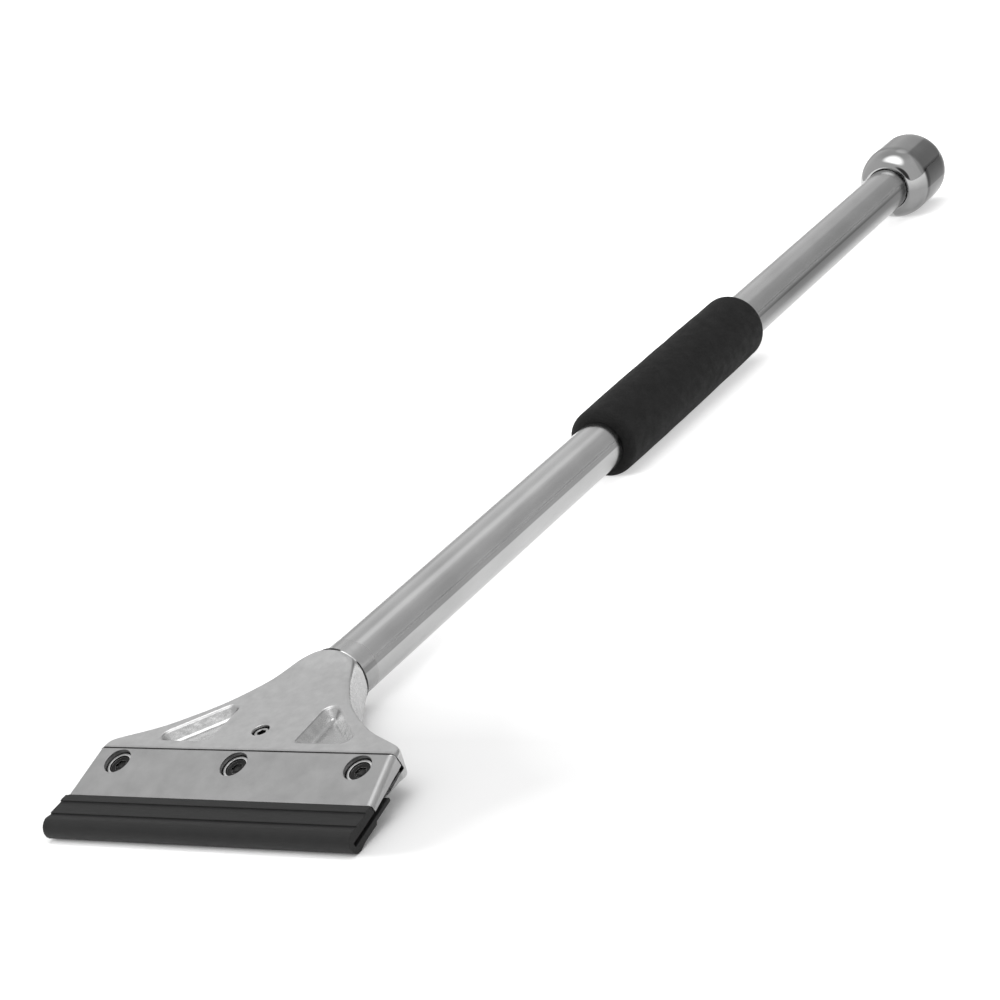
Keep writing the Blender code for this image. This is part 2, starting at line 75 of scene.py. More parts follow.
# %% Four working frames: the tool, the jaws, the blade and the top of the head
strike_reach = 627 * MM
seam_height = 4.74 * MM
plate_rear_thickness = 5.67 * MM
joints = {joint["name"]: joint for joint in frame["joints"]}
strike = next(mount for mount in frame["record"]["mounts"] if mount["name"] == "strike_face")


def working_frame(origin, rear, up):
    """Matrix whose axes are +X of the tool, the direction to the rear, and up."""
    axes = Matrix((Vector((1, 0, 0)), rear, up)).transposed()
    return Matrix.Translation(origin) @ axes.to_4x4()


def frame_from_up(origin, up):
    up = Vector(up).normalized()
    return working_frame(origin, up.cross(Vector((1, 0, 0))), up)


def frame_from_rear(origin, rear):
    rear = Vector(rear).normalized()
    return working_frame(origin, rear, Vector((1, 0, 0)).cross(rear))


handle_axis = Vector(strike["axis"]).normalized()
tool = frame_from_rear(Vector(strike["pos_m"]) - strike_reach * handle_axis, handle_axis)
seam = tool @ Vector((0, 0, seam_height))
jaw = frame_from_up(seam, joints["clamp_plate_lift"]["axis"])
top = frame_from_up(seam, joints["stud_lock_screw_turn"]["axis"])
blade_foot = jaw @ Vector((0, 0, -plate_rear_thickness))
blade = frame_from_rear(blade_foot, -Vector(joints["blade_slide"]["axis"]))
for title, matrix in (("tool", tool), ("jaw", jaw), ("top", top), ("blade", blade)):
    print(f"{title} frame tilts {math.degrees(math.atan2(matrix[2][1], matrix[1][1])):.2f} degrees")

# %% [markdown]
# The picture is taken with a long lens from in front of the blade and from its +X side, a little above the
# tool. The camera is rolled, so the handle runs up the picture from the lower left to the upper right. We
# give the camera's place, the point that it looks at and its roll in the directions of the tool. "Right" in
# this lesson means the +X side, which is the one that the picture shows.

# %% The camera
camera_place = Vector((548.09, -580.79, 347.73)) * MM
camera_aim = Vector((81.56, 69.93, 62.04)) * MM
camera_roll = math.radians(-15.94)
camera_lens = 91.98
camera_sensor = 36


def place_object(name, data, matrix):
    """New object of the scene at a place."""
    obj = bpy.data.objects.new(name, data)
    bpy.context.scene.collection.objects.link(obj)
    obj.matrix_world = matrix
    return obj


camera_data = bpy.data.cameras.new("camera")
camera_data.lens = camera_lens
camera_data.sensor_width = camera_sensor
looking = (camera_aim - camera_place).to_track_quat("-Z", "Y").to_matrix().to_4x4()
rolled = looking @ Matrix.Rotation(camera_roll, 4, "Z")
camera = place_object("camera", camera_data, tool @ Matrix.Translation(camera_place) @ rolled)
bpy.context.scene.camera = camera
bpy.context.scene.view_settings.view_transform = "Standard"
print("camera looks along", [round(v, 3) for v in camera.matrix_world.col[2].xyz * -1])

# %% [markdown]
# A material is a small graph of nodes. Most finishes here need the same few steps: noise at a real size,
# a pattern turned into a range of values, and sums and products of them. So each step gets a short helper.
# A helper that starts a pattern is told its tree; the others read the tree from the pattern they are given.
# Sizes are real: a noise with a grain of 0.3 mm repeats about every 0.3 mm, however large the piece is.

# %% Helpers for patterns
def new_finish(name):
    """Material with one Principled shader; returns it, its tree and that shader."""
    material = bpy.data.materials.new(name)
    material.use_nodes = True
    return material, material.node_tree, material.node_tree.nodes["Principled BSDF"]


def connect(source, target):
    source.id_data.links.new(source, target)


def local_place(tree, stretch=(1, 1, 1)):
    """Point in the piece's own directions, with the pattern stretched along an axis."""
    coordinates = tree.nodes.new("ShaderNodeTexCoord")
    mapping = tree.nodes.new("ShaderNodeMapping")
    mapping.inputs["Scale"].default_value = [1 / s for s in stretch]
    connect(coordinates.outputs["Object"], mapping.inputs["Vector"])
    return mapping.outputs["Vector"]


def grain(tree, size, detail=3, stretch=(1, 1, 1), roughness=0.5):
    """Noise whose lumps have the given size in metres."""
    node = tree.nodes.new("ShaderNodeTexNoise")
    node.inputs["Scale"].default_value = 1 / size
    node.inputs["Detail"].default_value = detail
    node.inputs["Roughness"].default_value = roughness
    connect(local_place(tree, stretch), node.inputs["Vector"])
    return node.outputs["Fac"]


def spread(value, low, high, from_low=0.3, from_high=0.7):
    """Turn a pattern into values between low and high."""
    node = value.id_data.nodes.new("ShaderNodeMapRange")
    node.inputs["From Min"].default_value = from_low
    node.inputs["From Max"].default_value = from_high
    node.inputs["To Min"].default_value = low
    node.inputs["To Max"].default_value = high
    connect(value, node.inputs["Value"])
    return node.outputs["Result"]


def work(operation, *values):
    """Math node; each value is a number or another node's output."""
    patterns = [value for value in values if isinstance(value, bpy.types.NodeSocket)]
    node = patterns[0].id_data.nodes.new("ShaderNodeMath")
    node.operation = operation
    for socket, value in zip(node.inputs, values):
        if value in patterns:
            connect(value, socket)
        else:
            socket.default_value = value
    return node.outputs["Value"]


def times(first, second):
    return work("MULTIPLY", first, second)


def plus(first, second):
    return work("ADD", first, second)


print("pattern helpers are ready")

# %% [markdown]
# Other steps answer a question about the surface with a number from 0 to 1, a mask. Does it face this way?
# How deep does it lie below the top of the head? Is it a worn edge? A mask decides where a finish changes.

# %% Helpers for masks
def along(vector, aim):
    """How far a vector reaches in a direction, which is fixed or another node's output."""
    node = vector.id_data.nodes.new("ShaderNodeVectorMath")
    node.operation = "DOT_PRODUCT"
    connect(vector, node.inputs[0])
    if isinstance(aim, bpy.types.NodeSocket):
        connect(aim, node.inputs[1])
    else:
        node.inputs[1].default_value = aim
    return node.outputs["Value"]


def facing(vector, aim, near, far):
    """1 where a direction points at aim and 0 away from it, soft between two angles in degrees."""
    result = spread(along(vector, aim), 0, 1, math.cos(math.radians(far)), math.cos(math.radians(near)))
    result.node.interpolation_type = "SMOOTHSTEP"
    return result


def surface_direction(tree):
    return tree.nodes.new("ShaderNodeNewGeometry").outputs["Normal"]


def round_handle(tree):
    """Angle in degrees, from up towards +X, at which a surface faces round the handle."""
    side = along(surface_direction(tree), tool.col[0].xyz)
    up = along(surface_direction(tree), tool.col[2].xyz)
    return times(work("ARCTAN2", side, up), math.degrees(1))


def band(angle, start, end, soft_start, soft_end):
    """1 between two angles, rising and falling over the soft stretches inside them."""
    rise = spread(angle, 0, 1, start, start + soft_start)
    return times(rise, spread(angle, 1, 0, end - soft_end, end))


def along_y(tree):
    """Place along +Y in metres."""
    return along(local_place(tree), (0, 1, 0))


def handle_y(distance):
    """Place along +Y of a distance along the handle."""
    return (tool @ Vector((0, distance, 0))).y


def depth_below(tree, matrix):
    """Depth in metres below the ground plane of a working frame."""
    up = matrix.col[2].xyz
    return work("SUBTRACT", matrix.translation.dot(up), along(local_place(tree), up))


def worn_edge(tree, radius):
    """1 on a sharp edge and 0 on flat ground, from how far a rounded normal turns away."""
    bevel = tree.nodes.new("ShaderNodeBevel")
    bevel.samples = 4
    bevel.inputs["Radius"].default_value = radius
    return spread(along(bevel.outputs["Normal"], surface_direction(tree)), 1, 0, 0.8, 1)


print("mask helpers are ready")

# %% [markdown]
# Masks then take shares of a shade away. Bands round the handle come as rows: the angles where a band
# starts and ends, with 0 on top, 90 on the right and -90 on the left, then the soft stretches inside them
# and the share that it takes. All finishes here are grey, so each ends with a shade read between two
# greys, a roughness, and bumps that are stacked in layers.

# %% From shades to a finish
def darken(shade, *layers):
    """Take shares of a shade away; each layer is a mask and the share that goes where it is 1."""
    for mask, share in layers:
        shade = times(shade, work("SUBTRACT", 1, times(mask, share)))
    return shade


def banded(shade, rows, where=1):
    """Darken a shade in bands round the handle, inside a mask."""
    angle = round_handle(shade.id_data)
    for *place, share in rows:
        shade = darken(shade, (times(band(angle, *place), where), share))
    return shade


def tone(value, dark, light):
    """Grey between two levels, read by a value from 0 to 1."""
    node = value.id_data.nodes.new("ShaderNodeMix")
    node.data_type = "RGBA"
    node.inputs["A"].default_value = (dark, dark, dark, 1)
    node.inputs["B"].default_value = (light, light, light, 1)
    connect(value, node.inputs["Factor"])
    return node.outputs["Result"]


def coat(shader, shade, greys, rough, bumps, metallic=1):
    """Give a shader its grey, its roughness and its bumps, each a pattern and its height in metres."""
    connect(tone(shade, *greys), shader.inputs["Base Color"])
    connect(rough, shader.inputs["Roughness"])
    shader.inputs["Metallic"].default_value = metallic
    normal = None
    for pattern, height in bumps:
        node = pattern.id_data.nodes.new("ShaderNodeBump")
        node.inputs["Distance"].default_value = height
        connect(pattern, node.inputs["Height"])
        if normal:
            connect(normal, node.inputs["Normal"])
        normal = node.outputs["Normal"]
    connect(normal, shader.inputs["Normal"])


print("finish helpers are ready")

# %% [markdown]
# The head is a steel casting or forging that was blasted with fine shot and plated a dull silver. Close
# up its surface is a fine dimpled skin; from further away it shows soft blotches where the blasting was
# uneven. Its edges are rubbed a little brighter. Painted shade draws a dark line along the long edge of the
# right flank, standing in for a dark reflection, and a darker strip just behind the clamp plate, standing
# in for the shade at the seam. The pockets are smoother and more rippled than the top, and a little painted
# shade darkens them.

# %% Cast steel for the head
cast_greys = (0, 0.64)
pocket_shine_start = 0.2 * MM
pocket_shine_end = 0.8 * MM
seam_shade_width = 1.6 * MM
flank_shade_band = (40, 80, 14, 6)

cast_steel, tree, shader = new_finish("cast_steel_skin")
blotch = grain(tree, 4 * MM, detail=5, roughness=0.6)
speckle = grain(tree, 0.35 * MM, roughness=0.6)
wear = worn_edge(tree, 0.5 * MM)
sunk = spread(depth_below(tree, top), 0, 1, pocket_shine_start, pocket_shine_end)
# Painted shade: a darker strip of the head just behind the clamp plate.
seam_shade = spread(along_y(tree), 1, 0, seam.y, seam.y + seam_shade_width)
# Painted shade: a dark line along the rounded long edge of the right flank, standing in for a dark reflection.
flank_edge_shade = times(band(round_handle(tree), *flank_shade_band), work("SUBTRACT", 1, sunk))
shade = plus(spread(blotch, 0.83, 0.98), times(wear, 0.06))
# The seam strip, the flank line and the pockets (sunk) are painted darker as shade.
shade = darken(shade, (seam_shade, 0.3), (flank_edge_shade, 0.66), (sunk, 0.12))
rough = plus(spread(blotch, 0.38, 0.46), spread(speckle, -0.04, 0.04))
rough = plus(rough, plus(times(wear, -0.08), times(sunk, -0.16)))
ripples = times(grain(tree, 4 * MM, detail=2), sunk)
coat(shader, shade, cast_greys, rough, [(speckle, 0.02 * MM), (ripples, 0.16 * MM)])
print("made", cast_steel.name)

# %% [markdown]
# The clamp plate was ground flat before plating. Grinding leaves very fine lines across the plate, so its
# noise is stretched along X. Painted shade darkens the walls of its screw holes: we fold the width of the
# plate onto one hole and measure the distance from that hole's axis. The same function serves the plain
# steel of the studs and inserts inside.

# %% Ground steel for the clamp plate
screw_spacing = 51.7 * MM
screw_setback = 6 * MM
hole_shade_radius = 5.35 * MM
hole_shade_start = 0.1 * MM
hole_shade_end = 0.3 * MM


def in_screw_holes(tree):
    """1 inside the counterbores and 0 elsewhere."""
    place = local_place(tree)
    across = along(place, (1, 0, 0))
    step = work("ROUND", work("DIVIDE", across, screw_spacing))
    across = work("SUBTRACT", across, times(step, screw_spacing))
    rear = jaw.col[1].xyz
    back = plus(along(place, rear), screw_setback - seam.dot(rear))
    radius = work("SQRT", plus(work("POWER", across, 2), work("POWER", back, 2)))
    deep = spread(depth_below(tree, jaw), 0, 1, hole_shade_start, hole_shade_end)
    return times(work("LESS_THAN", radius, hole_shade_radius), deep)


def make_ground_steel(name, level, line_length):
    material, tree, shader = new_finish(name)
    blotch = grain(tree, 7 * MM, detail=5, roughness=0.6)
    lines = grain(tree, 0.25 * MM, detail=4, stretch=(line_length, 1, 1), roughness=0.6)
    pits = grain(tree, 0.5 * MM, detail=2)
    wear = worn_edge(tree, 0.4 * MM)
    shade = plus(spread(blotch, 0.15, 0.9), times(wear, 0.5))
    shade = spread(shade, level * 0.92, level * 1.12, 0, 1)
    # Painted shade on the walls of the screw holes.
    shade = darken(shade, (in_screw_holes(tree), 0.45))
    rough = plus(spread(blotch, 0.37, 0.43), spread(lines, -0.03, 0.03))
    rough = plus(rough, times(wear, -0.1))
    coat(shader, shade, (0, 1), rough, [(lines, 0.008 * MM), (pits, 0.01 * MM)])
    return material


ground_steel = make_ground_steel("ground_steel_skin", 0.42, 18)
plain_steel = make_ground_steel("plain_steel_skin", 0.5, 4)
print("made", ground_steel.name, "and", plain_steel.name)

# %% [markdown]
# The handle is a drawn steel tube with a satin skin. Drawing leaves faint streaks along its length, and
# handling leaves duller patches. Streaks along Y come from noise that is stretched along Y. A short band
# next to the neck is duller than the rest, where the tube was held when it was screwed tight. Round the
# tube the shade is painted: lightest at the top right, a little darker all over the left and darker still
# at the lower right, with a narrow darker strip along the upper edge of that stretch. Towards the cap more
# painted shade is added, most of all at the lower right. These bands stand in for darker surroundings that
# the tube mirrors.

# %% Drawn steel for the handle tube
tube_greys = (0, 0.65)
dull_band_end = handle_y(69 * MM)
dull_band_fade = 0.4 * MM
far_shade_start = handle_y(330 * MM)
far_shade_end = handle_y(440 * MM)
far_shade_bands = ((74, 130, 8, 30, 0.7),)
tube_shade_bands = ((-180, 2, 1, 12, 0.2), (69, 87, 7, 2, 0.65), (85, 180, 2, 1, 0.34))

tube_steel, tree, shader = new_finish("tube_steel_skin")
streaks = grain(tree, 0.4 * MM, stretch=(1, 60, 1), roughness=0.6)
patches = grain(tree, 16 * MM, detail=4, stretch=(1, 2.5, 1))
specks = grain(tree, 0.8 * MM, detail=2)
dull = spread(along_y(tree), 1, 0, dull_band_end, dull_band_end + dull_band_fade)
dull = times(dull, spread(grain(tree, 3 * MM), 0.5, 1))
# Painted shade: the tube gets darker towards the cap.
far_shade = spread(along_y(tree), 0, 1, far_shade_start, far_shade_end)
shade = darken(spread(patches, 0.84, 1), (dull, 0.12), (far_shade, 0.16))
# Painted shade in bands round the handle, most of all at the lower right towards the cap.
shade = banded(banded(shade, far_shade_bands, far_shade), tube_shade_bands)
rough = plus(spread(patches, 0.15, 0.22), spread(streaks, -0.02, 0.03))
rough = plus(rough, times(dull, 0.14))
coat(shader, shade, tube_greys, rough, [(streaks, 0.003 * MM), (specks, 0.004 * MM)])
print("made", tube_steel.name)

# %% [markdown]
# The cap is darker and glossier than the tube: polished hard steel. Polishing leaves hair lines that run
# round it, so its noise is fine along Y and stretched in the two directions across. Three masks tell its
# front shoulder, its straight side and its struck face apart. Painted shade makes the straight side darker
# than the shoulder and darkest on the right, and darkens the shoulder only at its lower right; it stands in
# for darker surroundings mirrored there.

# %% Polished steel for the strike cap
cap_greys = (0, 0.44)
side_shade_bands = ((34, 106, 3, 2, 0.28), (69, 106, 6, 2, 0.95), (-180, 6, 1, 16, 0.48), (104, 180, 2, 1, 0.72))
shoulder_shade_bands = ((78, 180, 22, 1, 0.42),)

polished_steel, tree, shader = new_finish("polished_steel_skin")
rings = grain(tree, 0.3 * MM, stretch=(40, 1, 40), roughness=0.6)
patches = grain(tree, 12 * MM, detail=4)
wear = worn_edge(tree, 0.4 * MM)
shoulder = facing(surface_direction(tree), -handle_axis, 78, 84)
struck = facing(surface_direction(tree), handle_axis, 60, 84)
side = work("SUBTRACT", 1, work("MAXIMUM", shoulder, struck))
shade = plus(spread(patches, 0.88, 1), times(wear, 0.2))
# Painted shade in bands on the straight side and on the shoulder's lower right.
shade = banded(banded(shade, side_shade_bands, side), shoulder_shade_bands, shoulder)
# Painted shade: the whole straight side darker than the shoulder.
shade = darken(shade, (side, 0.23))
rough = plus(spread(patches, 0.06, 0.1), spread(rings, -0.01, 0.02))
coat(shader, shade, cap_greys, rough, [(rings, 0.002 * MM), (patches, 0.02 * MM)])
print("made", polished_steel.name)

# %% [markdown]
# The screws and the lock ring are blackened steel. The black is a thin skin that wears off where tools
# and hands rub: on sharp edges, on the rim of each clamp screw and on the face of the lock screw. Rim and
# face are found by their depth below the plate and below the top of the head. One stretch of the ring near
# the top right is painted bright as a highlight, where a glint shows. The blade is bright, with fine lines
# from its grinding.

# %% Blackened steel for the screws, and bright steel for the blade
black_greys = (0.035, 0.75)
blade_greys = (0.58, 0.66)
rim_depth = 1.8 * MM
face_depth = 0.9 * MM
worn_depth = 0.15 * MM
glint_band = (20, 58, 5, 5)
glint_reach = handle_y(55 * MM)
glint_fade = 1 * MM

black_steel, tree, shader = new_finish("black_steel_skin")
mottle = grain(tree, 0.7 * MM, detail=4, roughness=0.6)
rim = work("COMPARE", depth_below(tree, jaw), rim_depth, worn_depth)
face = work("COMPARE", depth_below(tree, top), face_depth, worn_depth)
near_ring = spread(along_y(tree), 0, 1, glint_reach, glint_reach + glint_fade)
# Painted highlight: a bright stretch of the ring near the top right, where a glint shows.
ring_glint = times(band(round_handle(tree), *glint_band), near_ring)
wear = times(worn_edge(tree, 0.25 * MM), spread(mottle, 0.3, 0.6))
# Real wear on the rims and the lock screw's face, and the ring's painted glint.
for rubbed_and_glint in (rim, ring_glint, times(face, 0.65)):
    wear = work("MAXIMUM", wear, rubbed_and_glint)
coat(shader, wear, black_greys, spread(mottle, 0.3, 0.44), [(mottle, 0.012 * MM)], 0.9)

blade_steel, tree, shader = new_finish("blade_steel_skin")
lines = grain(tree, 0.2 * MM, detail=4, stretch=(1, 25, 1), roughness=0.6)
patches = grain(tree, 10 * MM)
rough = plus(spread(patches, 0.2, 0.28), spread(lines, -0.04, 0.06))
coat(shader, spread(patches, 0, 1), blade_greys, rough, [(lines, 0.004 * MM)])
print("made", black_steel.name, "and", blade_steel.name)

# %% [markdown]
# Rubber and foam are not metals: their colour is nearly black, and what we see is mostly a soft sheen on
# a bumpy skin. The rubber guard has a fine moulded grain and light scuffs. The foam is a mass of closed
# cells, which we draw with a Voronoi pattern: each cell is a small blister, and the groove around it is
# painted darker as shade.

# %% Rubber and foam
rubber_greys = (0.012, 0.017)
rubber_sheen = 0.28
foam_greys = (0.017, 0.009)
foam_sheen = 0.18
foam_cell = 0.45 * MM

rubber, tree, shader = new_finish("rubber_skin")
dust = grain(tree, 6 * MM, detail=5, roughness=0.6)
skin = grain(tree, 0.3 * MM, roughness=0.6)
scuffs = grain(tree, 0.5 * MM, stretch=(14, 1, 1))
rough = plus(spread(dust, 0.5, 0.62), spread(scuffs, -0.05, 0.05))
shader.inputs["Specular IOR Level"].default_value = rubber_sheen
coat(shader, spread(dust, 0, 1), rubber_greys, rough, [(skin, 0.02 * MM), (scuffs, 0.012 * MM)], 0)

foam, tree, shader = new_finish("foam_skin")
cells = tree.nodes.new("ShaderNodeTexVoronoi")
cells.feature = "SMOOTH_F1"
cells.inputs["Scale"].default_value = 1 / foam_cell
cells.inputs["Smoothness"].default_value = 0.3
connect(local_place(tree), cells.inputs["Vector"])
grooves = cells.outputs["Distance"]
lumps = grain(tree, 5 * MM)
shader.inputs["Specular IOR Level"].default_value = foam_sheen
# The grooves between the foam's cells are painted darker as shade.
coat(shader, spread(grooves, 0, 1, 0.1, 0.7), foam_greys, spread(lumps, 0.7, 0.85),
     [(grooves, -0.1 * MM), (lumps, 0.05 * MM)], 0)
print("made", rubber.name, "and", foam.name)

# %% [markdown]
# Turned parts come next: they start from a profile of corners, each given as distance from the axis,
# height along it, and the radius with which the corner is rounded. Real corners are never sharp, and the
# thin line of light on a rounded corner is what makes a part look solid.

# %% Rounded outlines and turned shapes
nearly_straight = math.radians(88)
on_the_axis = 0.001 * MM


def rounded(corners, closed=False, steps=5):
    """Outline through (x, y, radius) corners, each replaced by a round stretch that fits."""
    points = []
    count = len(corners)
    for i, (x, y, radius) in enumerate(corners):
        here = Vector((x, y))
        before = Vector(corners[i - 1][:2]) - here
        after = Vector(corners[(i + 1) % count][:2]) - here
        ends_here = not closed and i in (0, count - 1)
        sharp = radius == 0 or ends_here or before.length == 0 or after.length == 0
        if sharp or before.angle(after) / 2 > nearly_straight:
            points.append((x, y))
            continue
        half = before.angle(after) / 2
        reach = min(radius / math.tan(half), before.length / 2, after.length / 2)
        radius = reach * math.tan(half)
        centre = here + (before.normalized() + after.normalized()).normalized() * radius / math.sin(half)
        start = here + before.normalized() * reach - centre
        turn = start.angle_signed(here + after.normalized() * reach - centre)
        for k in range(steps + 1):
            arm = start.copy()
            arm.rotate(Matrix.Rotation(-turn * k / steps, 2))
            points.append(tuple(centre + arm))
    return points


def arc(centre, radius, start, sweep, steps):
    """Points along a part of a circle, both ends included."""
    angles = [start + sweep * i / steps for i in range(steps + 1)]
    return [(centre[0] + radius * math.cos(a), centre[1] + radius * math.sin(a)) for a in angles]


def bulge(outer, inner, length, power, steps=14):
    """Rounded quarter from (outer, 0) to (inner, length) with a power that sets how square it is."""
    points = []
    for i in range(steps + 1):
        angle = math.pi / 2 * i / steps
        out = math.cos(angle) ** (2 / power)
        points.append((inner + (outer - inner) * out, length * math.sin(angle) ** (2 / power)))
    return points


def turned(profile, steps=128):
    """Mesh data turned about local Z from (radius, height) points, outer side from top to bottom."""
    bm = bmesh.new()
    rings = []
    for radius, height in profile:
        if radius < on_the_axis:
            rings.append([bm.verts.new((0, 0, height))] * steps)
            continue
        circle = arc((0, 0), radius, 0, math.tau, steps)[:-1]
        rings.append([bm.verts.new((x, y, height)) for x, y in circle])
    for upper, lower in zip(rings, rings[1:]):
        for i in range(steps):
            corners = [upper[i - 1], upper[i], lower[i], lower[i - 1]]
            corners = list(dict.fromkeys(corners))
            if len(corners) > 2:
                bm.faces.new(corners[::-1])
    return bm


print("a square corner of 1 mm becomes", len(rounded([(0, 0, 0), (1, 0, 0.2), (1, 1, 0)])), "points")

# %% [markdown]
# Every piece ends the same way: its mesh is moved from its working frame to its place on the tool, gets
# its finish, rides on a body of the model, and stands for the node that it replaces. Shading is smooth, with
# the sharp edges found by angle, and a Weighted Normal modifier keeps flat faces flat right up to a rounding.

# %% From mesh data to a finished piece
shading_angle = math.radians(35)
weld_distance = 0.002 * MM
bevel_angle = math.radians(60)


def mesh_object(name, bm, matrix):
    """Object from mesh data; doubles are welded and faces point out."""
    bmesh.ops.remove_doubles(bm, verts=bm.verts, dist=weld_distance)
    bmesh.ops.recalc_face_normals(bm, faces=bm.faces)
    mesh = bpy.data.meshes.new(name)
    bm.to_mesh(mesh)
    bm.free()
    return place_object(name, mesh, matrix)


def finish_piece(obj, node, body, material):
    obj.data.transform(obj.matrix_world)
    obj.matrix_world = Matrix.Identity(4)
    obj.data.shade_smooth()
    obj.data.set_sharp_from_angle(angle=shading_angle)
    obj.data.materials.clear()
    obj.data.materials.append(material)
    weighted = obj.modifiers.new("Flat faces stay flat", "WEIGHTED_NORMAL")
    weighted.keep_sharp = True
    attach(obj, body)
    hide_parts(node)
    print(f"{obj.name}: {len(obj.data.polygons)} faces")


def carve(piece, cutters=(), operation="DIFFERENCE"):
    """Apply a piece's modifiers and then Boolean cuts, and remove the cutters."""
    for cutter in cutters:
        boolean = piece.modifiers.new(cutter.name, "BOOLEAN")
        boolean.object = cutter
        boolean.operation = operation
        boolean.solver = "MANIFOLD"
    bpy.context.view_layer.update()
    shown = piece.evaluated_get(bpy.context.evaluated_depsgraph_get())
    shaped = bpy.data.meshes.new_from_object(shown)
    piece.modifiers.clear()
    piece.data = shaped
    for cutter in cutters:
        bpy.data.objects.remove(cutter, do_unlink=True)


def round_edges(piece, limit, width, segments):
    """Bevel the edges that carry a weight ("WEIGHT") or that turn sharply ("ANGLE")."""
    bevel = piece.modifiers.new("Rounded edges", "BEVEL")
    bevel.limit_method = limit
    bevel.angle_limit = bevel_angle
    bevel.width = width
    bevel.segments = segments
    carve(piece)


print("piece helpers are ready")

# %% [markdown]
# The handle is a row of turned parts on one axis: the thin lock ring at the neck, the tube, the foam
# grip and the cap. Their corners follow the sizes of the model, with fine roundings added.

# %% The tube and its lock ring
fit_gap = 0.3 * MM
neck_length = 59 * MM
tube_radius = 10.65 * MM
tube_wall = 2 * MM
tube_length = 551.6 * MM
ring_radius = 12 * MM
ring_thickness = 1 * MM
tube_rounds = (0.6 * MM, 0.3 * MM)
ring_rounds = (0.45 * MM, 0.1 * MM)
stud_hole_radius = 6.3 * MM
ring_start = neck_length + fit_gap
tube_start = ring_start + ring_thickness + fit_gap
tube_end = tube_start + tube_length
laid = Matrix.Rotation(-math.pi / 2, 4, "X")


def on_axis(distance):
    """Working frame on the handle's axis whose Z runs to the rear."""
    return tool @ Matrix.Translation((0, distance, 0)) @ laid


def sleeve(outer, inner, length, outer_round, inner_round):
    """Closed profile of a pipe."""
    points = rounded([(inner, 0, inner_round), (inner, length, inner_round), (outer, length, outer_round),
                      (outer, 0, outer_round)], closed=True)
    return points + points[:1]


def turned_piece(name, profile, steps, start, node, material):
    """Turned piece of the handle; its profile runs to the rear from the given distance."""
    piece = mesh_object(name, turned(profile, steps), on_axis(start))
    finish_piece(piece, node, "head", material)


tube_profile = sleeve(tube_radius, tube_radius - tube_wall, tube_length, *tube_rounds)
turned_piece("drawn_tube", tube_profile, 128, tube_start, "handle_tube", tube_steel)
ring_profile = sleeve(ring_radius, stud_hole_radius, ring_thickness, *ring_rounds)
turned_piece("neck_ring", ring_profile, 96, ring_start, "neck_lock_ring", black_steel)

# %% [markdown]
# The foam grip is a sleeve that was pushed over the tube. It is a little fuller in the middle and draws
# in at its ends, where the foam rolls over. Foam is never quite even, so after turning the profile we
# draw its outer points in by up to about a tenth of a millimetre, as a slow noise says.

# %% The foam grip
grip_length = 135.2 * MM
grip_setback = 202.8 * MM
grip_radius = 15.45 * MM
grip_crown = 0.25 * MM
grip_end_rounding = 4.2 * MM
grip_bore_gap = 0.05 * MM
grip_lip = 1.1 * MM
grip_unevenness = 0.12 * MM
grip_lump = 11 * MM


def grip_profile():
    bore = tube_radius + grip_bore_gap
    lip = tube_radius + grip_lip
    half = grip_length / 2
    end = bulge(grip_radius - grip_crown, lip, grip_end_rounding, 2.3, steps=12)
    points = [(r, half - grip_end_rounding + h) for r, h in reversed(end)]
    stations = 60
    for i in range(1, stations):
        height = (half - grip_end_rounding) * (1 - 2 * i / stations)
        points.append((grip_radius - grip_crown * (height / half) ** 2, height))
    points += [(r, grip_end_rounding - half - h) for r, h in end]
    points += [(bore, -half), (bore, half), points[0]]
    return points


bm = turned(grip_profile(), 160)
for vert in bm.verts:
    radius = vert.co.xy.length
    if radius > tube_radius + grip_lip / 2:
        lump = noise.noise(vert.co / grip_lump) * grip_unevenness
        vert.co.xy *= 1 + (lump - grip_unevenness / 2) / radius
grip = mesh_object("foam_sleeve", bm, on_axis(tube_start + grip_setback + grip_length / 2))
finish_piece(grip, "foam_grip", "head", foam)

# %% [markdown]
# The cap is one solid of polished steel. Its shoulder is a long soft quarter and its rear rim is a
# squarer one, so the side stays straight in between. The profile also runs into the mouth and down the
# bore, because a view from the front shows that the tube really goes in.

# %% The strike cap
cap_radius = 18.5 * MM
cap_length = 40 * MM
cap_bore_depth = 25.5 * MM
cap_mouth_radius = 11.2 * MM
cap_shoulder_length = 14 * MM
cap_rim_length = 10 * MM
cap_face_radius = 10 * MM
cap_stud_floor = 34.1 * MM
cap_mouth_rounding = 0.25 * MM
cap_bore_rounding = 0.1 * MM
cap_bore_radius = tube_radius + fit_gap
cap_start = tube_end + fit_gap - cap_bore_depth


def cap_profile():
    rim = bulge(cap_radius, cap_face_radius, cap_rim_length, 3, steps=28)
    shoulder = bulge(cap_radius, cap_mouth_radius, cap_shoulder_length, 2, steps=28)
    points = [(0, cap_length)]
    points += [(r, cap_length - cap_rim_length + h) for r, h in reversed(rim)]
    points += [(r, cap_shoulder_length - h) for r, h in shoulder[:-1]]
    mouth = [(shoulder[-2][0], cap_shoulder_length - shoulder[-2][1], 0),
             (cap_mouth_radius, 0, cap_mouth_rounding), (cap_bore_radius, 0, cap_bore_rounding),
             (cap_bore_radius, cap_bore_depth, 0)]
    points += rounded(mouth)[1:]
    points += [(stud_hole_radius, cap_bore_depth), (stud_hole_radius, cap_stud_floor), (0, cap_stud_floor)]
    return points


turned_piece("polished_cap", cap_profile(), 160, cap_start, "strike_cap", polished_steel)

# %% [markdown]
# The head changes from a flat box at the jaws to a round neck. We skin it over rings: each ring is a box
# with rounded corners whose width, height and roundings change along the handle. The half width follows a
# curve through listed shares. There are many more rings than in the working model, so that the long
# concave flank shades without a facet.

